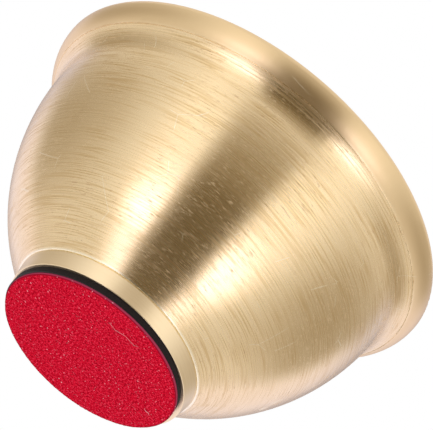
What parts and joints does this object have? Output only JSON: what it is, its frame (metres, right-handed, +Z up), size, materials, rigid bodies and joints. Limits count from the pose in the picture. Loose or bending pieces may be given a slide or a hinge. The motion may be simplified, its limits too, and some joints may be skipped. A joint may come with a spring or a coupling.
{
  "type": "footed bell bowl",
  "caption": "Small turned brass bell bowl with a rolled-out lip, a low foot and a felt-faced foam pad; struck or rubbed at the lip to ring.",
  "frame": {"origin": "centre of the felt's underside, where the bowl stands", "axes": "+Z up along the turning axis, from the foot to the lip; X and Y are free, because the bowl is turned"},
  "size_m": [0.0888, 0.0888, 0.052],
  "materials": {
    "brushed_brass": "brushed round the axis, satin",
    "turned_brass": "fine turned, smooth satin",
    "zinc_plated_steel": "zinc plated",
    "adhesive_tape": "thin adhesive film",
    "black_foam": "closed-cell foam, matte",
    "red_felt": "short flocked felt"
  },
  "bodies": {
    "root": {"bowl": "brushed_brass", "foot": "turned_brass", "foot_screw": "zinc_plated_steel", "lock_washer": "zinc_plated_steel", "foot_tape": "adhesive_tape", "foam_pad": "black_foam", "felt_tape": "adhesive_tape", "felt_pad": "red_felt"}
  },
  "joints": []
}
